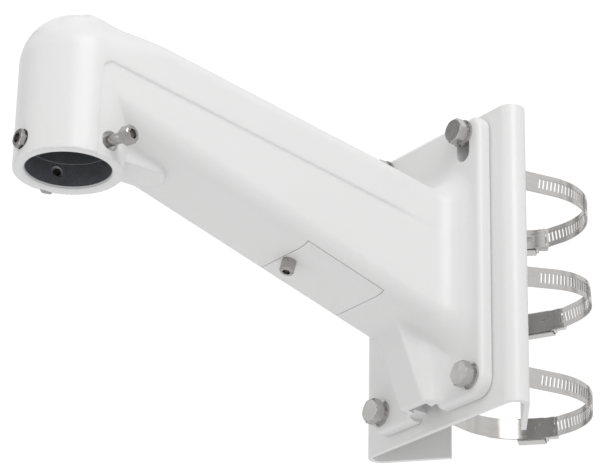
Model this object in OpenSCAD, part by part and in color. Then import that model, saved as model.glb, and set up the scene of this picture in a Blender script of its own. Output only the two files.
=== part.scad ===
/* [Camera head] */
// Distance from the mounting face to the axis of the camera socket
reach = 246; // [190:1:320]
// Outer radius of the round head
head_r = 28.8; // [27.5:0.1:34]
// Height of the head's open rim, from the middle of the mounting flange
head_rim_z = -7; // [-14:0.5:0]
// Radius of the open mouth of the camera socket
mouth_r = 22.6; // [22:0.1:24]
// Radius of the seat above the mouth
seat_r = 22.2; // [21:0.1:22.3]
// Depth of the mouth, up to the seat's shoulder
mouth_depth = 15; // [14:0.5:17]
// Depth of the whole socket from the rim
socket_depth = 53; // [44:1:56]
// Chamfer round the mouth
mouth_chamfer = 1.9; // [0.5:0.1:2.5]

/* [Arm] */
// Width of the arm below its raised top band
arm_w = 55; // [46:0.5:57]
// How far the raised top band stands proud on each side
band_step = 1.2; // [0.6:0.1:2]
// Height of the raised top band
band_h = 28.5; // [20:0.5:34]
// Height of the arm's top above the flange's middle, at the camera socket
top_z_head = 76.9; // [70:0.1:84]
// Height of the arm's top at the mounting face
top_z_root = 42.5; // [34:0.5:52]
// Height of the arm's underside, behind the head
low_z_head = 15; // [10:0.5:20]
// Height of the arm's underside at the mounting face
low_z_root = -46.2; // [-56:0.2:-36]
// Radius of the arm's top edges
top_edge_r = 9; // [6:0.5:12]
// Radius of the arm's lower edges
low_edge_r = 12; // [8:0.5:16]
// Wall of the hollow casting
wall = 5; // [4:0.25:6]
// Radius of the hollow that runs from the arm's root out to the flange
root_flare = 17; // [10:0.5:19]

/* [Flange] */
// Width of the mounting flange
flange_w = 97; // [92:0.5:110]
// Height of the mounting flange
flange_h = 169; // [166:1:190]
// How far the flange's middle is above the middle band
flange_rise = 1.5; // [0:0.5:4]
// Thickness of the mounting flange
flange_t = 8.4; // [7:0.1:12]
// Corner radius of the mounting flange
flange_corner_r = 10; // [8:0.5:14]
// Rounding of the flange's front edge
flange_edge_r = 3; // [2:0.5:6]
// Half width of the gusset under the arm
gusset_half_w = 11.5; // [9:0.5:14]
// Depth of the gusset at its foot
gusset_foot = 9; // [7:0.5:12]
// Width of the cable notch in the flange's foot
notch_w = 24; // [14:1:28]
// Height of the cable notch
notch_h = 5.5; // [5:0.5:9]

/* [Flange bolts] */
// Sideways distance of the upper bolts from the middle
upper_bolt_x = 34.8; // [34.2:0.1:37]
// Sideways distance of the lower bolts from the middle
lower_bolt_x = 38.5; // [36:0.1:39]
// Height of the upper bolts above the flange's middle
upper_bolt_z = 74.7; // [73.5:0.1:75.2]
// Depth of the lower bolts below the flange's middle
lower_bolt_z = 73.2; // [71:0.1:75]
// Radius of the bolt shanks
bolt_r = 4; // [3.5:0.1:4.3]
// Width across flats of the bolt heads and nuts
bolt_flats = 13; // [12:0.5:14]
// Height of the bolt heads
bolt_head_h = 5; // [4:0.1:6.5]
// Radial clearance of the shanks in their holes
bolt_gap = 0.5; // [0.3:0.05:0.8]
// How far the slots of the upper bolts run down
slot_run = 12; // [4:0.5:13]
// Radial clearance of the upper bolts' shanks in their slots
slot_gap = 1.3; // [0.5:0.1:2]
// Outer radius of the flat washers
washer_r = 8; // [7.5:0.1:8.5]
// Thickness of the flat washers
washer_t = 1.2; // [1:0.1:2.2]
// Thickness of the spring washers
spring_t = 1.7; // [1.5:0.1:2.5]
// Height of the nuts
nut_h = 6.5; // [5:0.1:7]

/* [Access cover] */
// Distance of the cover's rear edge from the mounting face, along the arm's underside
cover_near = 58; // [54:0.5:66]
// Length of the cover
cover_len = 53.7; // [46:0.5:58]
// Half width of the cover
cover_half_w = 22; // [18:0.5:23]
// Thickness of the cover
cover_t = 3; // [2.5:0.1:3.6]
// Thickness of the cover's gasket
gasket_t = 1; // [0.6:0.1:1.5]
// Gap all round the cover
cover_gap = 0.4; // [0.25:0.05:0.8]
// Distance of the cover's screw from its front edge
cover_screw_inset = 4.6; // [4.4:0.1:5.5]
// Radius of the cover screw's head
cover_head_r = 4.1; // [3.6:0.1:4.3]
// Height of the cover screw's head
cover_head_h = 7.2; // [5:0.1:9]

/* [Lock screws] */
// Height of the lock screws above the head's rim
lock_z = 10; // [8:0.5:11]
// Angle between the front lock screw and each side one
lock_angle = 106; // [95:1:125]
// Radius of the lock screws
lock_r = 3; // [2.5:0.1:3.2]
// Length of the lock screws below their heads
lock_len = 13; // [12.6:0.1:13.4]
// Width across flats of the lock screws' heads
lock_flats = 8.8; // [8:0.1:9.2]
// Height of the lock screws' heads
lock_head_h = 6; // [4:0.1:7]
// Depth of the counterbore that takes each head
lock_sink = 3.3; // [2:0.1:3.6]
// How far the side screw that has been backed out stands off its seat
lock_out = 11.6; // [8:0.1:11.8]
// How far the other side screw stands off its seat
lock_out_far = 10.4; // [8:0.1:11.8]

/* [Pole plate] */
// Overall width of the folded pole plate
plate_w = 130; // [126:0.5:140]
// Height of the pole plate
plate_h = 178; // [174:1:210]
// How far the plate's middle is below the middle band
plate_drop = 1; // [0:0.5:3]
// Thickness of its sheet
sheet_t = 3; // [2.5:0.1:3.5]
// Outer radius of its folds
fold_r = 8; // [6:0.5:10]
// Angle that each side is folded through
fold_angle = 141; // [138:0.5:146]
// Straight length of each folded side
side_len = 39; // [36:0.5:40]

/* [Band clamps] */
// Radius of the pole that the bands are closed to
pole_r = 40; // [36:0.5:44]
// Spacing of the three bands up the plate
band_pitch = 60.5; // [50:0.5:64]
// Width of the bands
strap_w = 12; // [10:0.1:12.7]
// Thickness of the bands
strap_t = 0.7; // [0.6:0.05:0.8]
// Distance of each slot from the plate's folded-in edge
strap_slot_edge = 3.2; // [3:0.1:4]
// Width of each slot
strap_slot_w = 5.5; // [5:0.1:7]
// Pitch of the perforations, which is the pitch of the worm too
worm_pitch = 2.6; // [2.4:0.1:3]
// Length of each perforation
perforation_h = 6.2; // [4:0.1:7]
// Width of each perforation
perforation_w = 1.25; // [1:0.05:1.5]
// Slant of the perforations
perforation_slant = 8; // [0:1:12]
// Length of the worm housings
housing_len = 16; // [14:0.5:18]
// Outer radius of the worm housings
housing_r = 6.9; // [6.6:0.1:7.2]
// Thickness of the housings' sheet
housing_t = 0.8; // [0.6:0.05:1]
// Crest radius of the worms
worm_r = 5.3; // [4.8:0.1:5.5]
// Width across flats of the worm screws' heads
worm_flats = 8; // [7:0.1:9]
// Places of the three housings round the pole, from the rear, top band first
housing_angles = [45, 33, 40.5]; // [20:0.5:60]
// Tilt of the loosely hung middle band
middle_tilt = 5.5; // [0:0.5:8]

/* [Hidden] */
$fn = 96;
// Small clearance between pieces that move past or rest beside each other
fit_gap = 0.1;
// Overlap that makes a cut clean
eps = 0.05;
// Size of a cut that has to reach past everything
far = 400;

// Pole plate, in section: x across, y back from the mounting face
fold_x = plate_w / 2 - fold_r;
side_dir = [-cos(180 - fold_angle), sin(180 - fold_angle)];
side_normal = [sin(180 - fold_angle), cos(180 - fold_angle)];
side_start = [fold_x, fold_r] + fold_r * side_normal;
side_tip = side_start + side_len * side_dir;
// The sides' edges stand this far off the pole
tip_gap = 0.3;
// Depth of the pole's axis behind the mounting face
axis_depth = side_tip[1] + sqrt(pow(pole_r + tip_gap, 2) - pow(side_tip[0], 2));
// Middle of a slot, half way through the sheet
slot_mid = side_tip - (strap_slot_edge + strap_slot_w / 2) * side_dir - sheet_t / 2 * side_normal;
// The bands rest this far above the foot of their slots
band_seat = 0.3;
slot_head_room = 1.2;
slot_h = strap_w + band_seat + slot_head_room;

// Arm
band_half_w = arm_w / 2 + band_step;
flange_foot_z = flange_rise - flange_h / 2;
top_slope = atan((top_z_head - top_z_root) / reach);
low_slope = atan((low_z_head - low_z_root) / (reach - head_r));
dome_z = top_z_head - head_r;
rim_to_lock = head_rim_z + lock_z;

// Lock screws
lock_seat_r = head_r - lock_sink;
lock_stand_off = 0.1;

// Band clamps
worm_core_r = worm_r - 1.3;
worm_gap = 0.25;
housing_in_r = housing_r - housing_t;
saddle_window = 3.8;
strap_step = strap_t + fit_gap;
worm_axis_r = 2 * strap_t + fit_gap + worm_gap + worm_r;
slack_middle = 1.05;
// Angle from a housing's middle to the plain end of the band under it
plain_lead = 20.5;
band_names_z = [band_pitch, 0, -band_pitch];

// Moves what follows into the frame whose origin is on the pole's axis
module on_pole() {
    translate([0, -axis_depth, 0]) children();
}

// A side profile, drawn as [distance ahead of the mounting face, height], given a half width
module side_prism(points, half_w) {
    translate([-half_w, 0, 0])
        rotate([90, 0, 90])
            linear_extrude(2 * half_w)
                polygon([for (p = points) [-p[0], p[1]]]);
}

// A rectangle from y0 to y1 whose corners at y1 are rounded
module half_round_section(half_w, y0, y1, r) {
    s = sign(y1 - y0);
    union() {
        translate([-half_w, min(y0, y1 - s * r)]) square([2 * half_w, abs(y1 - s * r - y0)]);
        translate([-half_w + r, min(y0, y1)]) square([2 * (half_w - r), abs(y1 - y0)]);
        for (x = [-1, 1]) translate([x * (half_w - r), y1 - s * r]) circle(r);
    }
}

// A frame with its height axis along the sloping top, looking out from the mounting face
module along_top(len) {
    translate([0, 0, top_z_root]) rotate([90 - top_slope, 0, 0]) linear_extrude(len) children();
}

// The same along the sloping underside
module along_low(len) {
    translate([0, 0, low_z_root]) rotate([90 - low_slope, 0, 0]) linear_extrude(len) children();
}

// A box given along the underside: u out from the mounting face, v up from the surface
module low_box(half_w, u0, u1, v0, v1) {
    translate([0, 0, low_z_root])
        rotate([-low_slope, 0, 0])
            translate([-half_w, -u1, v0])
                cube([2 * half_w, u1 - u0, v1 - v0]);
}

// Places a piece on the cover screw's axis, with +Z pointing down out of the cover
module at_cover_screw() {
    translate([0, 0, low_z_root])
        rotate([-low_slope, 0, 0])
            translate([0, -(cover_near + cover_len - cover_screw_inset), 0])
                rotate([180, 0, 0]) children();
}

// The arm's bar below the raised band
module arm_lower() {
    intersection() {
        along_low(reach / cos(low_slope))
            half_round_section(arm_w / 2, 130, 0, low_edge_r);
        y_band = reach - head_r - 13;
        side_prism([[0, low_z_root - 10], [0, top_z_root - 12],
            [y_band, top_z_root + y_band * tan(top_slope) - 12], [y_band + 20, dome_z - 3],
            [reach, dome_z - 3], [reach, low_z_head - 20]], 60);
    }
}

// The raised band along the arm's top
module arm_band() {
    intersection() {
        along_top((reach - head_r - 11.8) / cos(top_slope))
            half_round_section(band_half_w, -band_h, 0, top_edge_r);
        translate([-60, -far, -far / 2]) cube([120, far, far]);
    }
}

// The domed head, which the raised band blends into
module head_shell() {
    translate([0, -reach, 0]) {
        rotate_extrude() {
            translate([0, head_rim_z + 1]) square([head_r, dome_z - head_rim_z - 1]);
            translate([0, head_rim_z]) square([head_r - 1, 1.5]);
            translate([head_r - 1, head_rim_z + 1]) circle(1);
            intersection() {
                translate([0, dome_z]) circle(head_r);
                translate([0, dome_z - eps]) square([head_r + 1, head_r + 1]);
            }
        }
    }
    hull() {
        translate([0, -reach, dome_z]) sphere(head_r, $fn = 72);
        translate([0, -reach, dome_z - 8]) cylinder(r = head_r, h = 8, $fn = 72);
        along_top_at(reach - head_r - 12);
    }
}

// A thin slice of the raised band, at a distance out along the arm
module along_top_at(y) {
    translate([0, -y, top_z_root + y * tan(top_slope)])
        rotate([90 - top_slope, 0, 0])
            linear_extrude(0.5)
                union() {
                    translate([-band_half_w, -band_h + 1])
                        square([2 * band_half_w, band_h - 1 - top_edge_r]);
                    for (x = [-1, 1])
                        translate([x * (band_half_w - top_edge_r), -top_edge_r])
                            circle(top_edge_r, $fn = 32);
                }
}

// A round-cornered plate with a rounded front edge, its back on y = 0
module flange_plate() {
    w = flange_w / 2 - flange_corner_r;
    h = flange_h / 2 - flange_corner_r;
    translate([0, 0, flange_rise]) rotate([90, 0, 0]) {
        linear_extrude(flange_t) square([2 * w, 2 * h], center = true);
        for (s = [0, 1]) rotate(s * 180) {
            translate([w, h, 0]) rotate([90, 0, 0]) linear_extrude(2 * h) flange_border();
            translate([w, h, 0]) rotate_extrude(angle = 90) flange_border();
            translate([-w, h, 0]) rotate([90, 0, 90]) linear_extrude(2 * w) flange_border();
            translate([-w, h, 0]) rotate(90) rotate_extrude(angle = 90) flange_border();
        }
    }
}

// Section of the flange's border, outwards from where its corners are centred
module flange_border() {
    r = flange_edge_r;
    square([flange_corner_r - r, flange_t]);
    translate([flange_corner_r - r, 0]) square([r, flange_t - r]);
    intersection() {
        translate([flange_corner_r - r, flange_t - r]) circle(r);
        translate([flange_corner_r - r, flange_t - r]) square([r, r]);
    }
}

// The hollow-sided root that spreads from the arm to the flange
module arm_root() {
    r = root_flare;
    w = arm_w / 2;
    z1 = low_z_root + (flange_t + r) * tan(low_slope);
    z0 = z1 - r;
    difference() {
        intersection() {
            translate([-w - r, -flange_t - r, z0])
                cube([2 * (w + r), r + 1, top_z_root + r * 0.8 - z0]);
            side_prism([[0, z0], [0, top_z_root + r], [flange_t, top_z_root + r],
                [flange_t + r, top_z_root], [flange_t + r, z0 - 10]], 60);
        }
        for (x = [-1, 1])
            translate([x * (w + r), -flange_t - r, z0 - 1])
                cylinder(r = r, h = far);
        translate([-60, -flange_t - r, top_z_root + r + 1])
            rotate([0, 90, 0]) cylinder(r = r, h = 120);
        translate([-60, -flange_t - r, z0]) rotate([0, 90, 0]) cylinder(r = r - 0.3, h = 120);
    }
}

// The hollow that joins the arm's underside to the flange
module under_root() {
    r = root_flare;
    z1 = low_z_root + (flange_t + r) * tan(low_slope);
    difference() {
        translate([-arm_w / 2, -flange_t - r, z1 - r])
            cube([arm_w, r + 1, r + 6]);
        translate([-60, -flange_t - r, z1 - r]) rotate([0, 90, 0]) cylinder(r = r, h = 120);
    }
}

// The gusset under the arm, spreading to the flange on both sides
module gusset() {
    foot_z = flange_foot_z + 3;
    y_top = 37;
    z_top = low_z_root + y_top * tan(low_slope);
    side_prism([[0, foot_z], [flange_t + gusset_foot, foot_z], [y_top, z_top],
        [y_top, z_top + 8], [0, z_top + 8]], gusset_half_w);
    r = gusset_foot * 1.6;
    difference() {
        translate([-gusset_half_w - r, -flange_t - r, foot_z])
            cube([2 * (gusset_half_w + r), r + 1, z_top - foot_z + 6]);
        for (x = [-1, 1])
            translate([x * (gusset_half_w + r), -flange_t - r, foot_z - 1])
                cylinder(r = r, h = far);
        side_prism([[flange_t + gusset_foot, foot_z - 1], [far, foot_z - 1], [far, z_top],
            [y_top, z_top]], 60);
    }
}

// The stadium pad behind the head, under the arm
module rear_pad() {
    pad_z = head_rim_z + 10;
    pad_r = 11.5;
    translate([0, -reach + 58 - pad_r, pad_z]) cylinder(r = pad_r, h = 14);
    translate([-pad_r, -reach + 16, pad_z]) cube([2 * pad_r, 42 - pad_r, 14]);
}

module socket_cut() {
    translate([0, -reach, head_rim_z]) {
        translate([0, 0, -1]) cylinder(r = mouth_r, h = mouth_depth + 1);
        cylinder(r = seat_r, h = socket_depth);
        translate([0, 0, -eps])
            cylinder(r1 = mouth_r + mouth_chamfer, r2 = mouth_r - eps, h = mouth_chamfer);
    }
}

// The cable duct inside the arm
module duct_cut() {
    low_in = low_z_head + wall + 1;
    side_prism([
        [-1, low_z_root + wall + 1],
        [reach - head_r + 2, low_in],
        [reach - head_r + 2, head_rim_z + socket_depth - 1],
        [reach / 2, (top_z_head + top_z_root) / 2 - wall - 3],
        [-1, top_z_root - wall - 3]
    ], arm_w / 2 - wall);
    side_prism([
        [reach / 2, low_in],
        [reach, low_in],
        [reach, head_rim_z + socket_depth - 3],
        [reach / 2, head_rim_z + socket_depth - 3]
    ], seat_r - 1.3);
    // Cable way down through the gusset and out at the notch
    translate([-gusset_half_w + wall - 1, -flange_t - gusset_foot + wall - 1, flange_foot_z - 1])
        cube([2 * (gusset_half_w - wall + 1), flange_t + gusset_foot - wall + 2, 56]);
    translate([0, 1, flange_foot_z]) rotate([90, 0, 0]) linear_extrude(flange_t + 2) {
        arch_r = (pow(notch_w / 2, 2) + 16) / 8;
        translate([-notch_w / 2, -1]) square([notch_w, notch_h - 4 + 1]);
        intersection() {
            translate([0, notch_h - arch_r]) circle(arch_r);
            translate([-notch_w / 2, notch_h - 4 - eps]) square([notch_w, 6]);
        }
    }
}

module cover_pocket() {
    low_box(cover_half_w + cover_gap, cover_near - cover_gap, cover_near + cover_len + cover_gap,
        -5, cover_t + gasket_t);
    low_box(hand_half_w, hand_near, hand_far, -5, wall + 5);
    at_cover_screw() translate([0, 0, -wall - 6]) cylinder(r = 2.5 + fit_gap, h = 20);
}

hand_half_w = 15;
hand_near = cover_near + 6;
hand_far = cover_near + cover_len - 2 * cover_screw_inset - 3;

// Turns what follows to a lock screw's place, with +Z pointing out of the head
module at_lock(angle) {
    translate([0, -reach, rim_to_lock])
        rotate([0, 0, angle]) rotate([90, 0, 0]) children();
}

module lock_cut(angle) {
    at_lock(angle) {
        cylinder(r = lock_r + fit_gap, h = head_r + 2);
        translate([0, 0, lock_seat_r]) cylinder(r = lock_flats / sqrt(3) + 0.35, h = 10);
    }
}

module bolt_hole(x, z, run) {
    r = bolt_r + (run > 0 ? slot_gap : bolt_gap);
    translate([x, 2, z + flange_rise]) rotate([90, 0, 0]) linear_extrude(flange_t + 4) {
        circle(r);
        if (run > 0) {
            translate([0, -run]) circle(r);
            translate([-r, -run]) square([2 * r, run]);
        }
    }
}

module arm_casting() {
    color("whitesmoke") on_pole() difference() {
        union() {
            arm_lower();
            arm_band();
            head_shell();
            flange_plate();
            arm_root();
            under_root();
            gusset();
            rear_pad();
        }
        // The recessed sides: the head and the band stand proud of them
        for (x = [-1, 1])
            translate([x * (arm_w / 2 + 5), 0, 0])
                side_prism([[reach, low_z_head - 60], [reach, top_z_head - band_h - 14],
                    [reach - 2, top_z_head - band_h - 8], [reach - 8, top_z_head - band_h - 5],
                    [reach - head_r, top_z_head - band_h - 6], [reach - head_r, low_z_head - 60]], 5);
        socket_cut();
        duct_cut();
        cover_pocket();
        lock_cut(0);
        lock_cut(lock_angle);
        lock_cut(-lock_angle);
        for (x = [-1, 1]) {
            bolt_hole(x * upper_bolt_x, upper_bolt_z, slot_run);
            bolt_hole(x * lower_bolt_x, -lower_bolt_z, 0);
        }
    }
}

module access_cover() {
    color("white") on_pole() difference() {
        union() {
            intersection() {
                along_low(reach) half_round_section(arm_w / 2, 60, 0, low_edge_r);
                low_box(cover_half_w, cover_near, cover_near + cover_len, -5, cover_t);
            }
            // The tongue that hooks behind the arm's wall
            low_box(9, hand_near + 0.4, hand_near + 3.4, cover_t - 1, wall + 5);
            low_box(9, hand_near - 5, hand_near + 3.4, wall + 1.6 + gasket_t, wall + 5);
        }
        at_cover_screw() translate([0, 0, -20]) cylinder(r = 2.5 + 0.25, h = 40);
    }
}

module cover_gasket() {
    color("dimgray") on_pole() difference() {
        low_box(cover_half_w - 4, cover_near + 1.5, cover_near + cover_len - 1, cover_t, cover_t + gasket_t);
        low_box(hand_half_w, hand_near, hand_far, 0, 10);
        at_cover_screw() translate([0, 0, -20]) cylinder(r = 2.5 + 0.25, h = 40);
    }
}

module cover_screw() {
    color("darkgray") on_pole() at_cover_screw() difference() {
        union() {
            translate([0, 0, fit_gap]) cylinder(r = cover_head_r, h = cover_head_h - 0.6);
            translate([0, 0, fit_gap + cover_head_h - 0.6])
                cylinder(r1 = cover_head_r, r2 = cover_head_r - 0.6, h = 0.6);
            translate([0, 0, -cover_t - gasket_t - 5]) cylinder(r = 2.5, h = cover_t + gasket_t + 5.2);
        }
        translate([0, 0, cover_head_h - 3.2]) cylinder(r = 4 / sqrt(3), h = 5, $fn = 6);
    }
}

// A hexagon bar with turned, chamfered ends at its top
module hex_head(flats, h) {
    intersection() {
        cylinder(r = flats / sqrt(3), h = h, $fn = 6);
        cylinder(r1 = flats / sqrt(3) + h * 1.6, r2 = flats / 2 - 0.2, h = h);
    }
}

module lock_screw(angle, out) {
    color("silver") on_pole() at_lock(angle)
        translate([0, 0, lock_seat_r + lock_stand_off + out]) difference() {
            union() {
                hex_head(lock_flats, lock_head_h);
                translate([0, 0, 0.8 - lock_len]) cylinder(r = lock_r, h = lock_len - 0.7);
                translate([0, 0, -lock_len]) cylinder(r1 = lock_r - 0.8, r2 = lock_r, h = 0.8);
            }
            translate([0, 0, lock_head_h - 3]) cylinder(r = 5 / sqrt(3), h = 4, $fn = 6);
        }
}
module front_lock_screw() { lock_screw(0, 0); }
module near_lock_screw() { lock_screw(lock_angle, lock_out); }
module far_lock_screw() { lock_screw(-lock_angle, lock_out_far); }

// Section of the folded plate
module plate_section() {
    translate([-fold_x, 0]) square([2 * fold_x, sheet_t]);
    for (s = [0, 1]) mirror([s, 0]) {
        translate([fold_x, fold_r]) arc_bar(fold_r - sheet_t, fold_r, -90, fold_angle - 90);
        polygon([side_start, side_tip, side_tip - sheet_t * side_normal,
            side_start - sheet_t * side_normal]);
    }
}

// A stretch of ring between two angles
module arc_bar(r_in, r_out, a0, a1) {
    n = ceil((a1 - a0) / 30);
    reach_r = r_out * 1.5;
    intersection() {
        difference() {
            circle(r_out);
            circle(r_in);
        }
        polygon(concat([[0, 0]],
            [for (i = [0:n]) reach_r * [cos(a0 + (a1 - a0) * i / n), sin(a0 + (a1 - a0) * i / n)]]));
    }
}

module pole_plate() {
    color("white") on_pole() difference() {
        translate([0, 0, -plate_drop - plate_h / 2]) linear_extrude(plate_h) plate_section();
        for (z = band_names_z, s = [0, 1]) mirror([s, 0, 0])
            translate([slot_mid[0], slot_mid[1], z - strap_w / 2 - band_seat])
                rotate([0, 0, fold_angle])
                    translate([-strap_slot_w / 2, -sheet_t, 0])
                        cube([strap_slot_w, 2 * sheet_t, slot_h]);
        for (x = [-1, 1], z = [-1, 1])
            translate([x * bolt_side(z), -1, bolt_height(z)])
                rotate([-90, 0, 0]) cylinder(r = bolt_r + bolt_gap, h = sheet_t + 2);
    }
}

function bolt_side(z) = z > 0 ? upper_bolt_x : lower_bolt_x;
function bolt_height(z) = flange_rise + (z > 0 ? upper_bolt_z : -lower_bolt_z);

// Places a piece on a flange bolt's axis, with +Z pointing out of the flange's front
module at_bolt(x, z) {
    on_pole() translate([x * bolt_side(z), -flange_t, bolt_height(z)]) rotate([90, 0, 0]) children();
}

module bolt(x, z) {
    color("silver") at_bolt(x, z) {
        translate([0, 0, washer_t + spring_t]) hex_head(bolt_flats, bolt_head_h);
        tail = flange_t + sheet_t + nut_h + 3;
        translate([0, 0, 1 - tail]) cylinder(r = bolt_r, h = tail + washer_t + spring_t - 1 + eps);
        translate([0, 0, -tail]) cylinder(r1 = bolt_r - 1, r2 = bolt_r, h = 1);
    }
}

module spring_washer(x, z) {
    color("silver") at_bolt(x, z) translate([0, 0, washer_t]) difference() {
        cylinder(r = washer_r - 1.4, h = spring_t);
        translate([0, 0, -1]) cylinder(r = bolt_r + 0.2, h = spring_t + 2);
        rotate([0, 0, 200]) translate([bolt_r, -0.6, -1]) rotate([20, 0, 0])
            cube([washer_r, 1, spring_t + 4]);
    }
}

module washer(x, z) {
    color("lightgray") at_bolt(x, z) difference() {
        cylinder(r = washer_r, h = washer_t);
        translate([0, 0, -1]) cylinder(r = bolt_r + 0.3, h = washer_t + 2);
    }
}

module nut(x, z) {
    color("silver") at_bolt(x, z) translate([0, 0, -flange_t - sheet_t]) rotate([180, 0, 0])
        difference() {
            hex_head(bolt_flats, nut_h);
            translate([0, 0, -1]) cylinder(r = bolt_r + fit_gap, h = nut_h + 2);
        }
}

module bolt_upper_near() { bolt(1, 1); }
module bolt_upper_far() { bolt(-1, 1); }
module bolt_lower_near() { bolt(1, -1); }
module bolt_lower_far() { bolt(-1, -1); }
module spring_washer_upper_near() { spring_washer(1, 1); }
module spring_washer_upper_far() { spring_washer(-1, 1); }
module spring_washer_lower_near() { spring_washer(1, -1); }
module spring_washer_lower_far() { spring_washer(-1, -1); }
module washer_upper_near() { washer(1, 1); }
module washer_upper_far() { washer(-1, 1); }
module washer_lower_near() { washer(1, -1); }
module washer_lower_far() { washer(-1, -1); }
module nut_upper_near() { nut(1, 1); }
module nut_upper_far() { nut(-1, 1); }
module nut_lower_near() { nut(1, -1); }
module nut_lower_far() { nut(-1, -1); }

// A straight stretch of band between two points on its middle line
module straight_bar(p, q) {
    d = (q - p) / norm(q - p);
    n = (strap_t / 2 - 0.02) * [-d[1], d[0]];
    a = p - 0.9 * d;
    b = q + 0.9 * d;
    polygon([a - n, b - n, b + n, a + n]);
}

// Where a band leaves its round for the slot, and how it turns inside the plate
slot_on_pole = slot_mid - [0, axis_depth];
function leave_angle(r) = atan(slot_on_pole[0] / -slot_on_pole[1]) + acos(r / norm(slot_on_pole));
function leave_point(r) = r * [sin(leave_angle(r)), -cos(leave_angle(r))];
turn_r = 16;
function turn_centre(r) =
    let (u = (slot_on_pole - leave_point(r)) / norm(slot_on_pole - leave_point(r)))
    slot_on_pole + turn_r * [u[1], -u[0]];

// Plan of a band round the pole. Angles are measured from the rear, towards the far side.
// The plain end starts under the housing, the perforated end runs out over it.
module band_plan(inner_r, housing_at) {
    r = inner_r + strap_t / 2;
    leave = 180 - leave_angle(r);
    plain_end = housing_at - plain_lead;
    step_end = plain_end - 3;
    step_start = step_end - 9;
    tail_end = housing_at + 36;
    // Angles of this plan are turned so that the rear is at 90 degrees
    arc_bar(inner_r, inner_r + strap_t, 90 + plain_end, 90 + leave);
    arc_bar(inner_r, inner_r + strap_t, 90 - leave, 90 + step_start);
    arc_bar(inner_r + strap_step, inner_r + strap_step + strap_t, 90 + step_end, 90 + tail_end);
    straight_bar(r * [-sin(step_start - 0.3), cos(step_start - 0.3)],
        (r + strap_step) * [-sin(step_end + 0.3), cos(step_end + 0.3)]);
    c = turn_centre(r);
    turn = atan2(slot_on_pole[1] - c[1], slot_on_pole[0] - c[0]);
    for (s = [0, 1]) mirror([s, 0]) {
        straight_bar(leave_point(r), slot_on_pole);
        translate(c) arc_bar(turn_r - strap_t / 2, turn_r + strap_t / 2, -90, turn);
    }
    straight_bar([-c[0], c[1] - turn_r], [c[0], c[1] - turn_r]);
}

// The slots that the worm drives: in the outer layer only where the band lies double
module perforations(inner_r, housing_at) {
    pitch_angle = worm_pitch / (inner_r + strap_t) * 180 / PI;
    first = housing_at + 31;
    leave = 180 - leave_angle(inner_r + strap_t / 2);
    count = floor((first + leave) / pitch_angle);
    for (i = [0:count]) {
        at = first - i * pitch_angle;
        rotate([0, 0, at]) translate([0, inner_r + strap_t, 0]) rotate([90, 0, 0])
            perforation(at > housing_at - plain_lead - 2);
    }
    // The last few slots, on the straight stretch to the plate
    p = leave_point(inner_r + strap_t / 2);
    u = (slot_on_pole - p) / norm(slot_on_pole - p);
    gone = ((count + 1) * pitch_angle - first - leave) * PI / 180 * inner_r;
    for (i = [0:3])
        translate(p + (gone + i * worm_pitch) * u)
            rotate([0, 0, -leave]) rotate([90, 0, 0]) perforation(false);
}

// One slot, whose cutter stops short of an inner layer
module perforation(outer_only) {
    rotate([0, 0, perforation_slant])
        translate([0, 0, outer_only ? -1.55 : -1.5])
            linear_extrude(outer_only ? 1.5 : 3)
                square([perforation_w, perforation_h], center = true);
}

// The window in the band's plain end that the housing's tab hooks into
module tab_window(inner_r, housing_at) {
    rotate([0, 0, housing_at - plain_lead + 11]) translate([0, inner_r + strap_t / 2 - 1, 0]) {
        cube([2.2, 2 + fit_gap, 7], center = true);
        translate([-2, 0, 0]) cube([4, 2 + fit_gap, 3], center = true);
    }
}

module tilted(tilt) {
    translate([0, slot_on_pole[1], 0]) rotate([tilt, 0, 0]) translate([0, -slot_on_pole[1], 0]) children();
}

module band(z, housing_at, slack, tilt) {
    color("silver") translate([0, 0, z]) tilted(tilt) difference() {
        translate([0, 0, -strap_w / 2]) linear_extrude(strap_w) band_plan(pole_r + slack, housing_at);
        perforations(pole_r + slack, housing_at);
        tab_window(pole_r + slack, housing_at);
    }
}
module band_top() { band(band_names_z[0], housing_angles[0], 0, 0); }
module band_middle() { band(band_names_z[1], housing_angles[1], slack_middle, middle_tilt); }
module band_bottom() { band(band_names_z[2], housing_angles[2], 0, 0); }

// Places a piece at a housing: +X along the band, +Y away from the pole, worm axis at y = worm_axis_r
module at_housing(z, housing_at, slack, tilt) {
    translate([0, 0, z]) tilted(tilt) rotate([0, 0, housing_at])
        translate([0, pole_r + slack, 0]) rotate([0, 0, 180]) mirror([0, 1, 0]) children();
}

module housing(z, housing_at, slack, tilt) {
    foot = 2 * strap_t + 2 * fit_gap;
    color("silver") at_housing(z, housing_at, slack, tilt) {
        difference() {
            translate([-housing_len / 2, 0, 0]) rotate([90, 0, 90]) linear_extrude(housing_len) {
                difference() {
                    union() {
                        translate([worm_axis_r, 0]) circle(housing_r);
                        translate([0.9, -housing_r]) square([worm_axis_r - 0.9, 2 * housing_r]);
                    }
                    translate([worm_axis_r, 0]) circle(housing_in_r);
                    translate([0, -housing_in_r]) square([worm_axis_r, 2 * housing_in_r]);
                }
            }
            // Windows in the arch that show the worm
            for (x = [-1, 1])
                translate([x * housing_len / 5 - 1.2, worm_axis_r + housing_in_r - 1.5, -3])
                    cube([2.4, 4, 6]);
        }
        difference() {
            intersection() {
                translate([0, -worm_saddle_r(slack), -housing_r])
                    difference() {
                        cylinder(r = worm_saddle_r(slack) + foot + housing_t, h = 2 * housing_r);
                        translate([0, 0, -1])
                            cylinder(r = worm_saddle_r(slack) + foot, h = 2 * housing_r + 2);
                    }
                translate([-housing_len / 2, 0, -housing_r]) cube([housing_len, 6, 2 * housing_r]);
            }
            translate([-housing_len / 2 + 1.4, 0, -saddle_window])
                cube([housing_len - 2.8, 6, 2 * saddle_window]);
        }
    }
}
function worm_saddle_r(slack) = pole_r + slack;
module housing_top() { housing(band_names_z[0], housing_angles[0], 0, 0); }
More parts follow.
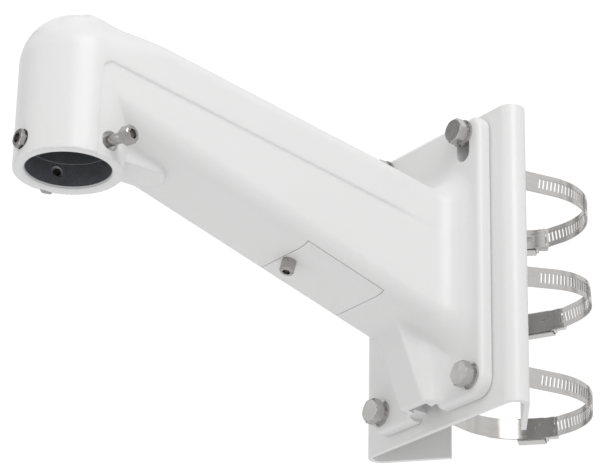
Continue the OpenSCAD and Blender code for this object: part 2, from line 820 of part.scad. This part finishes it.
module housing_middle() { housing(band_names_z[1], housing_angles[1], slack_middle, middle_tilt); }
module housing_bottom() { housing(band_names_z[2], housing_angles[2], 0, 0); }

module worm_screw(z, housing_at, slack, tilt) {
    ridge_count = floor((housing_len - 4) / worm_pitch);
    head_at = housing_len / 2 + 0.3;
    color("gainsboro") at_housing(z, housing_at, slack, tilt)
        translate([0, worm_axis_r, 0]) rotate([0, -90, 0]) difference() {
            union() {
                translate([0, 0, -head_at]) cylinder(r = worm_core_r, h = 2 * head_at + 0.5);
                rotate_extrude() for (i = [0:ridge_count - 1])
                    polygon([[worm_core_r - 0.5, ridge_z(i) - 1.1], [worm_core_r - 0.1, ridge_z(i) - 1.0],
                        [worm_r, ridge_z(i) - 0.3], [worm_r, ridge_z(i) + 0.3],
                        [worm_core_r - 0.1, ridge_z(i) + 1.0], [worm_core_r - 0.5, ridge_z(i) + 1.1]]);
                translate([0, 0, head_at]) cylinder(r = worm_core_r + 1.6, h = 1.2);
                translate([0, 0, head_at + 1.2 - eps]) hex_head(worm_flats, 6);
            }
            translate([-0.6, -10, head_at + 5]) cube([1.2, 20, 5]);
        }
}
function ridge_z(i) = (i - (floor((housing_len - 4) / worm_pitch) - 1) / 2) * worm_pitch;
module worm_screw_top() { worm_screw(band_names_z[0], housing_angles[0], 0, 0); }
module worm_screw_middle() { worm_screw(band_names_z[1], housing_angles[1], slack_middle, middle_tilt); }
module worm_screw_bottom() { worm_screw(band_names_z[2], housing_angles[2], 0, 0); }

arm_casting();
access_cover();
cover_gasket();
cover_screw();
front_lock_screw();
near_lock_screw();
far_lock_screw();
pole_plate();
bolt_upper_near();
bolt_upper_far();
bolt_lower_near();
bolt_lower_far();
spring_washer_upper_near();
spring_washer_upper_far();
spring_washer_lower_near();
spring_washer_lower_far();
washer_upper_near();
washer_upper_far();
washer_lower_near();
washer_lower_far();
nut_upper_near();
nut_upper_far();
nut_lower_near();
nut_lower_far();
band_top();
band_middle();
band_bottom();
housing_top();
housing_middle();
housing_bottom();
worm_screw_top();
worm_screw_middle();
worm_screw_bottom();
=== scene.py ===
import math

import bpy
import numpy as np
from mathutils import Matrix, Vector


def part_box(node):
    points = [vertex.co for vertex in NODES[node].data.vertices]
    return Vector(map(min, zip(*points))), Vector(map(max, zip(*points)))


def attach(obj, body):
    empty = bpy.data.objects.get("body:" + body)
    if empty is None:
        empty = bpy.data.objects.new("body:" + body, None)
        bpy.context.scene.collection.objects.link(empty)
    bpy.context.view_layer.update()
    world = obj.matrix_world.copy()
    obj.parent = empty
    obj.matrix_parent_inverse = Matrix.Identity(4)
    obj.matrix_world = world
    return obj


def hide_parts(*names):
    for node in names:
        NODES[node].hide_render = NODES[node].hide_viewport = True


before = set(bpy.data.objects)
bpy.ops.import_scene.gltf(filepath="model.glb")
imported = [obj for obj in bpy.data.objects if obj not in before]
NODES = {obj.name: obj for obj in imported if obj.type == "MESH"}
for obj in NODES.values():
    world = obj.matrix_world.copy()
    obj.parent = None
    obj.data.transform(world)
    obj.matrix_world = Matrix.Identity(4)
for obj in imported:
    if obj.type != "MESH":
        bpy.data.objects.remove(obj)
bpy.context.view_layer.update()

import openvdb
from mathutils import Matrix, Vector

MM = 0.001

# The mounting face lies this far in front of the pole's axis
AXIS_DEPTH = -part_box("pole_plate")[0][1] * 1000


# Materials

class Maker:
    """A material's node tree, with short names for what this scene uses."""

    def __init__(self, name):
        self.material = bpy.data.materials.new(name)
        self.material.use_nodes = True
        self.tree = self.material.node_tree
        self.shader = self.tree.nodes["Principled BSDF"]
        self.coords = self.add("ShaderNodeTexCoord").outputs["Object"]

    def add(self, kind, **values):
        node = self.tree.nodes.new(kind)
        for key, value in values.items():
            setattr(node, key, value)
        return node

    def link(self, a, b):
        self.tree.links.new(a, b)

    def set(self, **values):
        for key, value in values.items():
            self.shader.inputs[key.replace("_", " ")].default_value = value

    def noise(self, scale, detail=3.0, roughness=0.5, vector=None, stretch=None):
        node = self.add("ShaderNodeTexNoise")
        node.inputs["Scale"].default_value = scale
        node.inputs["Detail"].default_value = detail
        node.inputs["Roughness"].default_value = roughness
        source = vector or self.coords
        if stretch:
            mapping = self.add("ShaderNodeMapping")
            mapping.inputs["Scale"].default_value = stretch
            self.link(source, mapping.inputs["Vector"])
            source = mapping.outputs["Vector"]
        self.link(source, node.inputs["Vector"])
        return node.outputs["Fac"]

    def ramp(self, value, *stops):
        node = self.add("ShaderNodeValToRGB")
        elements = node.color_ramp.elements
        while len(elements) < len(stops):
            elements.new(0.5)
        for element, (at, colour) in zip(elements, stops):
            element.position = at
            if not isinstance(colour, (tuple, list)):
                colour = (colour, colour, colour)
            element.color = (*colour, 1)
        self.link(value, node.inputs["Fac"])
        return node.outputs["Color"]

    def span(self, value, low, high, to_low, to_high):
        node = self.add("ShaderNodeMapRange")
        node.inputs["From Min"].default_value = low
        node.inputs["From Max"].default_value = high
        node.inputs["To Min"].default_value = to_low
        node.inputs["To Max"].default_value = to_high
        self.link(value, node.inputs["Value"])
        return node.outputs["Result"]

    def bump(self, *heights):
        """heights are (value, distance in metres, strength) from the coarsest to the finest."""
        normal = None
        for value, distance, strength in heights:
            node = self.add("ShaderNodeBump")
            node.inputs["Distance"].default_value = distance
            node.inputs["Strength"].default_value = strength
            self.link(value, node.inputs["Height"])
            if normal:
                self.link(normal, node.inputs["Normal"])
            normal = node.outputs["Normal"]
        self.link(normal, self.shader.inputs["Normal"])
        return normal


def powder_coat(name, tone=0.8, rough=0.36):
    m = Maker(name)
    broad = m.noise(9, 2)
    fine = m.noise(420, 2)
    m.link(m.ramp(broad, (0.3, (tone, tone, tone * 0.995)), (0.7, (tone + 0.02, tone + 0.02, tone + 0.018))),
           m.shader.inputs["Base Color"])
    m.link(m.span(m.noise(60, 3), 0.3, 0.7, rough - 0.03, rough + 0.05), m.shader.inputs["Roughness"])
    m.set(Specular_IOR_Level=0.5, Coat_Weight=0.12, Coat_Roughness=0.2)
    m.bump((fine, 0.00006, 0.35))
    return m.material


def steel(name, tone, rough, stretch=(1, 1, 1), scale=300, warmth=0.03, bump=0.25):
    m = Maker(name)
    grain = m.noise(scale, 4, 0.6, stretch=stretch)
    m.link(m.ramp(grain, (0.25, (tone * 0.86, tone * (0.86 - warmth / 2), tone * (0.86 - warmth))),
                  (0.75, (tone, tone * (1 - warmth / 2), tone * (1 - warmth)))), m.shader.inputs["Base Color"])
    m.link(m.span(grain, 0.25, 0.75, rough * 0.8, rough * 1.3), m.shader.inputs["Roughness"])
    m.set(Metallic=1.0)
    m.bump((grain, 0.00003, bump))
    return m.material


def bare_aluminium(name):
    m = Maker(name)
    speck = m.noise(1900, 2, 0.7)
    broad = m.noise(120, 4)
    mix = m.add("ShaderNodeMath", operation="MULTIPLY")
    m.link(m.span(speck, 0.35, 0.68, 0.45, 1.0), mix.inputs[0])
    m.link(m.span(broad, 0.3, 0.7, 0.75, 1.0), mix.inputs[1])
    m.link(m.ramp(mix.outputs[0], (0.3, (0.13, 0.135, 0.15)), (0.98, (0.3, 0.31, 0.335))), m.shader.inputs["Base Color"])
    m.set(Metallic=0.55, Roughness=0.42)
    m.bump((speck, 0.00006, 0.35))
    return m.material


def rubber(name):
    m = Maker(name)
    grain = m.noise(500, 3)
    m.link(m.ramp(grain, (0.3, 0.02), (0.7, 0.045)), m.shader.inputs["Base Color"])
    m.set(Roughness=0.8)
    m.bump((grain, 0.0001, 0.4))
    return m.material


COAT = powder_coat("white_powder_coat")
SHEET_COAT = powder_coat("white_powder_coat_sheet", 0.81, 0.33)
BARE = bare_aluminium("bare_cast_aluminium")
BOLT = steel("bolt_steel", 0.58, 0.15, (1, 1, 1), 220)
SCREW = steel("screw_steel", 0.46, 0.15, (1, 1, 1), 260, 0.05)
BAND = steel("band_steel", 0.58, 0.2, (1, 1, 30), 60, 0.05)
HOUSING = steel("housing_steel", 0.8, 0.16, (1, 1, 8), 120, 0.03)
WORM = steel("worm_steel", 0.8, 0.13, (1, 1, 1), 260, 0.02)
GASKET = rubber("gasket_rubber")


def paint(node, material):
    mesh = NODES[node].data
    mesh.materials.clear()
    mesh.materials.append(material)


for name in NODES:
    if name in ("arm_casting", "access_cover"):
        paint(name, COAT)
    elif name == "pole_plate":
        paint(name, SHEET_COAT)
    elif name == "cover_gasket":
        paint(name, GASKET)
    elif name.startswith("band"):
        paint(name, BAND)
    elif name.startswith("housing"):
        paint(name, HOUSING)
    elif name.startswith("worm"):
        paint(name, WORM)
    elif "lock_screw" in name or name == "cover_screw":
        paint(name, SCREW)
    else:
        paint(name, BOLT)


# Shapes

def new_object(name, verts, faces, material=None, smooth=35):
    mesh = bpy.data.meshes.new(name)
    mesh.from_pydata(verts, [], faces)
    mesh.update()
    if material:
        mesh.materials.append(material)
    piece = bpy.data.objects.new(name, mesh)
    bpy.context.collection.objects.link(piece)
    if smooth:
        mesh.shade_smooth()
        mesh.set_sharp_from_angle(angle=math.radians(smooth))
    return piece


def place(points):
    """Bracket millimetres (x, distance out from the mounting face, z) to the scene's metres."""
    return [(x * MM, (-y - AXIS_DEPTH) * MM, z * MM) for x, y, z in points]


def prism(name, profile, half_w, material):
    """A side profile of (distance out, height) points, given a width from -half_w to half_w."""
    if isinstance(half_w, (int, float)):
        half_w = (-half_w, half_w)
    area = sum(a[0] * b[1] - b[0] * a[1] for a, b in zip(profile, profile[1:] + profile[:1]))
    if area < 0:
        profile = profile[::-1]
    n = len(profile)
    points = [(half_w[0], y, z) for y, z in profile] + [(half_w[1], y, z) for y, z in profile]
    faces = [tuple(range(n)), tuple(range(2 * n - 1, n - 1, -1))]
    faces += [(k, k + n, (k + 1) % n + n, (k + 1) % n) for k in range(n)]
    return new_object(name, place(points), faces, material, 0)


def lathe(name, profile, base, axis, material, count=96, smooth=0):
    """A solid turned from (radius, height) points about an axis in bracket millimetres."""
    z_dir = Vector(axis).normalized()
    x_dir = z_dir.orthogonal().normalized()
    y_dir = z_dir.cross(x_dir)
    base = Vector(base)
    points, faces = [], []
    for r, h in profile:
        for k in range(count):
            a = 2 * math.pi * k / count
            points.append(base + h * z_dir + r * (math.cos(a) * x_dir + math.sin(a) * y_dir))
    rows = len(profile)
    for i in range(rows - 1):
        for k in range(count):
            j = (k + 1) % count
            faces.append((i * count + k, (i + 1) * count + k, (i + 1) * count + j, i * count + j))
    faces.append(tuple(range(count)))
    faces.append(tuple(range(rows * count - 1, (rows - 1) * count - 1, -1)))
    return new_object(name, place(points), faces, material, smooth)


def cut(target, cutter, operation="DIFFERENCE"):
    tool = target.modifiers.new("cut", "BOOLEAN")
    tool.operation = operation
    tool.solver = "MANIFOLD"
    tool.object = cutter
    graph = bpy.context.evaluated_depsgraph_get()
    mesh = bpy.data.meshes.new_from_object(target.evaluated_get(graph))
    target.modifiers.clear()
    old = target.data
    target.data = mesh
    bpy.data.meshes.remove(old)
    spare = cutter.data
    bpy.data.objects.remove(cutter)
    bpy.data.meshes.remove(spare)


# The arm casting's outer skin, as a distance field

TOP_ROOT, TOP_SLOPE = 41.3, 35.7 / 246
LOW_ROOT, LOW_SLOPE = -46.2, 61.2 / 217.2
REACH, HEAD_R, RIM = 246.0, 28.8, -7.0
DOME = 81.2 - HEAD_R


def ease(a, b, value):
    t = np.clip((value - a) / (b - a), 0, 1)
    return t * t * (3 - 2 * t)


def rmax(a, b, r):
    """Both: an edge rounded to radius r."""
    return np.minimum(np.maximum(a, b), -r) + np.hypot(np.maximum(a + r, 0), np.maximum(b + r, 0))


def rmin(a, b, r):
    """Either: a hollow filleted to radius r."""
    return np.maximum(np.minimum(a, b), r) - np.hypot(np.maximum(r - a, 0), np.maximum(r - b, 0))


def casting_field(x, y, z):
    x = np.abs(x)
    top_line = TOP_ROOT + TOP_SLOPE * y
    rise = ease(203, REACH, y)
    top = (z - top_line - 4.1 * rise) * math.cos(math.atan(TOP_SLOPE))
    low = (LOW_ROOT + LOW_SLOPE * y - z) * math.cos(math.atan(LOW_SLOPE))
    top_r = 11 + (HEAD_R - 11.2) * rise
    ends = np.maximum(y - REACH, -y - 4)
    bar = np.maximum(rmax(rmax(x - 27.5, top, top_r), low, 12), ends)
    raised = 27.5 + 1.25 * ease(24, 62, y)
    band = rmax(rmax(x - raised, top, top_r), top_line - 28.5 - z, 1.1)
    arm = rmin(bar, np.maximum(band, ends), 0.8)
    # Head, with its sides cut back behind the step
    flat = np.hypot(x, y - REACH)
    barrel = rmax(rmax(flat - HEAD_R, RIM - z, 1.0), z - DOME, 0.01)
    dome = np.sqrt(flat * flat + (z - DOME) ** 2) - HEAD_R
    head = np.minimum(barrel, dome)
    recess = rmax(rmax(y - REACH, z - top_line + 28.5, 8), 27.5 - x, 0.4)
    head = rmax(head, -recess, 0.5)
    soft = 0.2 + 4.2 * (1 - ease(16, 25, x))
    body = rmin(arm, head, soft)
    # Pad behind the head
    run = np.hypot(x, y - np.clip(y, 199.5, REACH)) - 11.5
    pad = np.maximum(rmax(run, 3.0 - z, 1.6), z - 26)
    body = rmin(body, pad, 0.2 + 2.6 * (1 - ease(10, 20, 24 - z)) + 1.4 * ease(10, 20, 24 - z))
    # Gusset
    lean = math.hypot(44.2, 19.6)
    front = ((y - 17.4) * 44.2 - (z + 80) * 19.6) / lean
    gusset = rmax(rmax(x - 10.6, front, 1.6), -80 - z, 1.0)
    gusset = np.maximum(np.maximum(gusset, z - (LOW_ROOT + LOW_SLOPE * y + 12)), -y - 4)
    body = rmin(body, gusset, 5.5)
    # Flange
    dx, dz = np.abs(x) - (48.5 - 10), np.abs(z - 1.5) - (84.5 - 10)
    outline = np.hypot(np.maximum(dx, 0), np.maximum(dz, 0)) + np.minimum(np.maximum(dx, dz), 0) - 10
    flange = np.maximum(rmax(outline, y - 8.4, 3.0), -y - 4)
    spread = 17 - 9.5 * (1 - ease(-78, -44, z))
    spread = spread * (0.12 + 0.88 * ease(-82, -79, z))
    return rmin(body, flange, spread)


def casting_skin(name, step):
    low, high = np.array((-52.0, -6.0, -87.0)), np.array((52.0, 279.0, 81.0))
    counts = np.ceil((high - low) / step).astype(int) + 1
    axes = [low[k] + step * np.arange(counts[k]) for k in range(3)]
    x, y, z = np.meshgrid(*axes, indexing="ij", sparse=True)
    field = casting_field(x, y, z)
    grid = openvdb.FloatGrid(3 * step)
    grid.copyFromArray(np.clip(field, -3 * step, 3 * step).astype(np.float32), ijk=(0, 0, 0))
    points, triangles, quads = grid.convertToPolygons(0.0, 0.0)
    p = points.astype(np.float64) * step + low
    h = 0.02
    for _ in range(4):
        f = casting_field(p[:, 0], p[:, 1], p[:, 2])
        g = np.stack([(casting_field(*(p + d).T) - casting_field(*(p - d).T)) / (2 * h)
                      for d in np.eye(3) * h], axis=1)
        move = f[:, None] * g / np.maximum((g * g).sum(axis=1), 0.25)[:, None]
        p -= np.clip(move, -step, step)
    faces = [tuple(int(v) for v in q) for q in quads] + [tuple(int(v) for v in t) for t in triangles]
    skin = new_object(name, place(p), faces, COAT, 0)
    if signed_volume(skin.data) < 0:
        skin.data.flip_normals()
    return skin


def signed_volume(mesh):
    mesh.calc_loop_triangles()
    co = np.empty(len(mesh.vertices) * 3)
    mesh.vertices.foreach_get("co", co)
    co = co.reshape(-1, 3)
    tri = np.empty(len(mesh.loop_triangles) * 3, dtype=np.int64)
    mesh.loop_triangles.foreach_get("vertices", tri)
    a, b, c = (co[tri.reshape(-1, 3)[:, k]] for k in range(3))
    return float((a * np.cross(b, c)).sum() / 6)


def cylinder(name, base, axis, r, h0, h1, material, count=96):
    return lathe(name, [(r, h0), (r, h1)], base, axis, material, count)


def block(name, low, high, material):
    return prism(name, [(low[1], low[2]), (high[1], low[2]), (high[1], high[2]), (low[1], high[2])],
                 (low[0], high[0]), material)


def along_low(u, v):
    """A point at a distance u out along the underside and v up from it."""
    a = math.atan(LOW_SLOPE)
    return (u * math.cos(a) - v * math.sin(a), LOW_ROOT + u * math.sin(a) + v * math.cos(a))


def low_block(name, half_w, u0, u1, v0, v1, material):
    return prism(name, [along_low(u0, v0), along_low(u1, v0), along_low(u1, v1), along_low(u0, v1)],
                 half_w, material)


casting = casting_skin("arm_casting_skin", 1.25)
# The back of the flange is flat
cut(casting, block("cutter", (-60, -12, -95), (60, 0.0, 95), COAT))
# A fine relief round the flange's back edge


def flange_loop(grow, y):
    loop = []
    for cx, cz, start in ((38.5, 76, 0), (-38.5, 76, 90), (-38.5, -73, 180), (38.5, -73, 270)):
        for k in range(13):
            a = math.radians(start + 7.5 * k)
            loop.append((cx + (10 + grow) * math.cos(a), y, cz + (10 + grow) * math.sin(a)))
    return loop


loops = [flange_loop(g, y) for g, y in ((-0.9, -1), (4, -1), (4, 0.75), (-0.9, 0.75))]
n = len(loops[0])
relief = new_object("cutter", place(sum(loops, [])),
                    [(i * n + k, i * n + (k + 1) % n, (i + 1) % 4 * n + (k + 1) % n, (i + 1) % 4 * n + k)
                     for i in range(4) for k in range(n)], COAT, 0)
if signed_volume(relief.data) < 0:
    relief.data.flip_normals()
cut(casting, relief)
# Duct
cut(casting, prism("cutter", [(-1, -40.2), (219.2, 21), (219.2, 45), (123, 51.1), (-1, 33.3)], 22.5, BARE))
cut(casting, prism("cutter", [(123, 21), (246, 21), (246, 43), (123, 43)], 20.9, BARE))
cut(casting, block("cutter", (-7.5, -1, -84), (7.5, 13.4, -28), COAT))
notch = [(-12.0, -90.0), (12.0, -90.0), (12.0, -80.5)]
notch += [(12.0 * math.cos(a), -81.5 + 4 * math.sin(a)) for a in (k * math.pi / 24 for k in range(1, 24))]
notch += [(-12.0, -80.5)]
notch_faces = [tuple(range(len(notch)))[::-1], tuple(range(len(notch), 2 * len(notch)))]
notch_faces += [(k, (k + 1) % len(notch), (k + 1) % len(notch) + len(notch), k + len(notch)) for k in range(len(notch))]
notch_points = [(x, -1.0, z) for x, z in notch] + [(x, 9.4, z) for x, z in notch]
notch_cutter = new_object("cutter", place(notch_points), notch_faces, COAT, 0)
if signed_volume(notch_cutter.data) < 0:
    notch_cutter.data.flip_normals()
cut(casting, notch_cutter)
# Socket: chamfer, mouth and seat
cut(casting, lathe("cutter", [(22.6, -1), (22.6, 15), (22.2, 15.2), (22.2, 53)],
                   (0, REACH, RIM), (0, 0, 1), BARE, 128))
cut(casting, lathe("cutter", [(25.2, -1), (24.5, 0.0), (24.0, 0.15), (22.9, 1.1), (22.65, 2.4), (21.0, 2.4)],
                   (0, REACH, RIM), (0, 0, 1), COAT, 128))
# Cover pocket, hand hole and the screw's hole
cut(casting, low_block("cutter", 22.4, 57.6, 112.1, -5, 4, COAT))
cut(casting, low_block("cutter", 15, 64, 99.5, -5, 10, BARE))
screw_y, screw_z = along_low(107.1, 0)
low_normal = (0, -math.sin(math.atan(LOW_SLOPE)), math.cos(math.atan(LOW_SLOPE)))
cut(casting, cylinder("cutter", (0, screw_y, screw_z), low_normal, 2.6, -9, 11, BARE, 48))
# Lock screw holes with their counterbores
for angle in (0, 106, -106):
    a = math.radians(angle)
    out = (math.sin(a), math.cos(a), 0)
    cut(casting, lathe("cutter", [(3.1, 0), (3.1, 25.5), (5.43, 25.5001), (5.43, 36)],
                       (0, REACH, 3.0), out, COAT, 64))
# Flange bolt holes: the upper ones are slots
for side in (-1, 1):
    cut(casting, cylinder("cutter", (side * 38.5, 0, -71.7), (0, 1, 0), 4.5, -2, 14, COAT, 64))
    slot_points = [(5.3 * math.cos(k * math.pi / 24), 76.2 + 5.3 * math.sin(k * math.pi / 24)) for k in range(25)]
    slot_points += [(-5.3 * math.cos(k * math.pi / 24), 64.2 - 5.3 * math.sin(k * math.pi / 24)) for k in range(25)]
    n = len(slot_points)
    points = [(side * 34.8 + x, -2, z) for x, z in slot_points] + [(side * 34.8 + x, 24, z) for x, z in slot_points]
    faces = [tuple(range(n))[::-1], tuple(range(n, 2 * n))]
    faces += [(k, (k + 1) % n, (k + 1) % n + n, k + n) for k in range(n)]
    slot = new_object("cutter", place(points), faces, COAT, 0)
    if signed_volume(slot.data) < 0:
        slot.data.flip_normals()
    cut(casting, slot)
casting.data.shade_smooth()
casting.data.set_sharp_from_angle(angle=math.radians(32))
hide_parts("arm_casting")
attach(casting, "bracket")


# Lock screws with cut threads in place of the smooth ones

def threaded(name, base, axis, r, depth, pitch, h0, h1, material, count=40):
    rows = int(math.ceil((h1 - h0) / pitch * 8)) + 1
    z_dir = Vector(axis).normalized()
    x_dir = z_dir.orthogonal().normalized()
    y_dir = z_dir.cross(x_dir)
    points, faces = [], []
    for i in range(rows):
        h = h0 + (h1 - h0) * i / (rows - 1)
        run_in = min(1.0, (h - h0) / 0.9 + 0.25)
        for k in range(count):
            turn = (h / pitch - k / count) % 1.0
            radius = r - depth * (abs(2 * turn - 1) if run_in == 1.0 else 1 - 0.6 * (run_in - 0.25))
            a = 2 * math.pi * k / count
            points.append(Vector(base) + h * z_dir + radius * (math.cos(a) * x_dir + math.sin(a) * y_dir))
    for i in range(rows - 1):
        for k in range(count):
            j = (k + 1) % count
            faces.append((i * count + k, (i + 1) * count + k, (i + 1) * count + j, i * count + j))
    faces.append(tuple(range(count)))
    faces.append(tuple(range(rows * count - 1, (rows - 1) * count - 1, -1)))
    rod = new_object(name, place(points), faces, material, 0)
    if signed_volume(rod.data) < 0:
        rod.data.flip_normals()
    return rod


for which, degrees, stand in (("front", 0, 0.0), ("near", 106, 11.6), ("far", -106, 10.4)):
    node = which + "_lock_screw"
    a = math.radians(degrees)
    out = (math.sin(a), math.cos(a), 0)
    seat = 25.6 + stand
    screw = NODES[node].copy()
    screw.data = NODES[node].data.copy()
    screw.name = screw.data.name = node + "_threaded"
    bpy.context.collection.objects.link(screw)
    cut(screw, cylinder("cutter", (0, REACH, 3.0), out, 3.3, seat - 14, seat - 0.001, SCREW, 48))
    cut(screw, threaded("thread", (0, REACH, 3.0), out, 2.98, 0.55, 1.0, seat - 13, seat + 0.5, SCREW), "UNION")
    screw.data.shade_smooth()
    screw.data.set_sharp_from_angle(angle=math.radians(30))
    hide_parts(node)
    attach(screw, which + "_lock")

# Camera, solved from the photo in the bracket's own frame, whose origin is on the mounting face
AZIMUTH, ELEVATION, ROLL = math.radians(53.3), math.radians(-24.1), math.radians(1.2)
FOCAL_PX, SHIFT_X, SHIFT_Y, DISTANCE = 2620.2, 11.0, -3.3, 1425.9
forward = Vector((-math.sin(AZIMUTH) * math.cos(ELEVATION), math.cos(AZIMUTH) * math.cos(ELEVATION),
                  -math.sin(ELEVATION)))
right = Vector((math.cos(AZIMUTH), math.sin(AZIMUTH), 0))
up = right.cross(forward)
camera_at = Vector((0, -110 - AXIS_DEPTH, 0)) + SHIFT_X * right + SHIFT_Y * up - DISTANCE * forward
r2 = math.cos(ROLL) * right + math.sin(ROLL) * up
u2 = -math.sin(ROLL) * right + math.cos(ROLL) * up
camera_data = bpy.data.cameras.new("camera")
camera_data.sensor_width = 36
camera_data.sensor_fit = "HORIZONTAL"
camera_data.lens = FOCAL_PX * 36 / 600
camera_data.clip_start = 0.05
camera_data.clip_end = 50
camera = bpy.data.objects.new("camera", camera_data)
bpy.context.collection.objects.link(camera)
turn = Matrix((r2, u2, -forward)).transposed()
camera.matrix_world = Matrix.Translation(camera_at * MM) @ turn.to_4x4()
bpy.context.scene.camera = camera

# Studio
floor_data = bpy.data.meshes.new("floor")
floor_data.from_pydata([(-6, -6, -0.8), (6, -6, -0.8), (6, 6, -0.8), (-6, 6, -0.8)], [], [(0, 1, 2, 3)])
floor = bpy.data.objects.new("floor", floor_data)
bpy.context.collection.objects.link(floor)
floor_maker = Maker("pale_floor")
floor_maker.link(floor_maker.ramp(floor_maker.noise(3, 2), (0.3, 0.86), (0.7, 0.88)),
                 floor_maker.shader.inputs["Base Color"])
floor_maker.set(Roughness=0.7)
floor_data.materials.append(floor_maker.material)

world = bpy.data.worlds.new("studio")
world.use_nodes = True
tree = world.node_tree
soft = tree.nodes["Background"]
backdrop = tree.nodes.new("ShaderNodeBackground")
backdrop.inputs["Color"].default_value = (1, 1, 1, 1)
backdrop.inputs["Strength"].default_value = 1.05
path = tree.nodes.new("ShaderNodeLightPath")
blend = tree.nodes.new("ShaderNodeMixShader")
coords = tree.nodes.new("ShaderNodeTexCoord")
split = tree.nodes.new("ShaderNodeSeparateXYZ")
tree.links.new(coords.outputs["Generated"], split.inputs["Vector"])
sky = tree.nodes.new("ShaderNodeValToRGB")
for at, value in ((0.0, 0.42), (0.35, 0.5), (0.55, 0.3), (0.75, 0.75), (1.0, 0.95)):
    element = sky.color_ramp.elements.new(at) if at not in (0.0, 1.0) else sky.color_ramp.elements[int(at)]
    element.color = (value, value, value, 1)
lift = tree.nodes.new("ShaderNodeMapRange")
lift.inputs["From Min"].default_value = -1
lift.inputs["From Max"].default_value = 1
tree.links.new(split.outputs["Z"], lift.inputs["Value"])
tree.links.new(lift.outputs["Result"], sky.inputs["Fac"])
tree.links.new(sky.outputs["Color"], soft.inputs["Color"])
soft.inputs["Strength"].default_value = 0.98
# Mirror-like faces see a banded studio with dark cards between its bright panels
cards = tree.nodes.new("ShaderNodeBackground")
cards.inputs["Strength"].default_value = 1.0
waves = tree.nodes.new("ShaderNodeTexWave")
waves.wave_type = "BANDS"
waves.bands_direction = "DIAGONAL"
waves.inputs["Scale"].default_value = 0.95
waves.inputs["Distortion"].default_value = 2.4
waves.inputs["Phase Offset"].default_value = 1.1
waves.inputs["Detail"].default_value = 1.0
tree.links.new(coords.outputs["Generated"], waves.inputs["Vector"])
panels = tree.nodes.new("ShaderNodeValToRGB")
for at, value in ((0.0, 0.03), (0.48, 0.09), (0.6, 0.5), (0.8, 0.9), (1.0, 1.5)):
    element = panels.color_ramp.elements.new(at) if at not in (0.0, 1.0) else panels.color_ramp.elements[int(at)]
    element.color = (value, value, value, 1)
tree.links.new(waves.outputs["Fac"], panels.inputs["Fac"])
tree.links.new(panels.outputs["Color"], cards.inputs["Color"])
mirror = tree.nodes.new("ShaderNodeMixShader")
tree.links.new(path.outputs["Is Glossy Ray"], mirror.inputs["Fac"])
tree.links.new(soft.outputs["Background"], mirror.inputs[1])
tree.links.new(cards.outputs["Background"], mirror.inputs[2])
tree.links.new(path.outputs["Is Camera Ray"], blend.inputs["Fac"])
tree.links.new(mirror.outputs["Shader"], blend.inputs[1])
tree.links.new(backdrop.outputs["Background"], blend.inputs[2])
tree.links.new(blend.outputs["Shader"], tree.nodes["World Output"].inputs["Surface"])
bpy.context.scene.world = world
bpy.context.scene.view_settings.view_transform = "Standard"


def area_light(name, power, size, spot, target=(0, -0.17, 0)):
    data = bpy.data.lights.new(name, "AREA")
    data.energy = power
    data.shape = "SQUARE"
    data.size = size
    light = bpy.data.objects.new(name, data)
    light.location = spot
    light.rotation_euler = (Vector(target) - Vector(spot)).to_track_quat("-Z", "Y").to_euler()
    bpy.context.collection.objects.link(light)


area_light("key", 9.5, 0.9, (1.3, -0.5, 0.9))
area_light("fill", 2.2, 1.2, (-0.4, -1.6, 0.2))
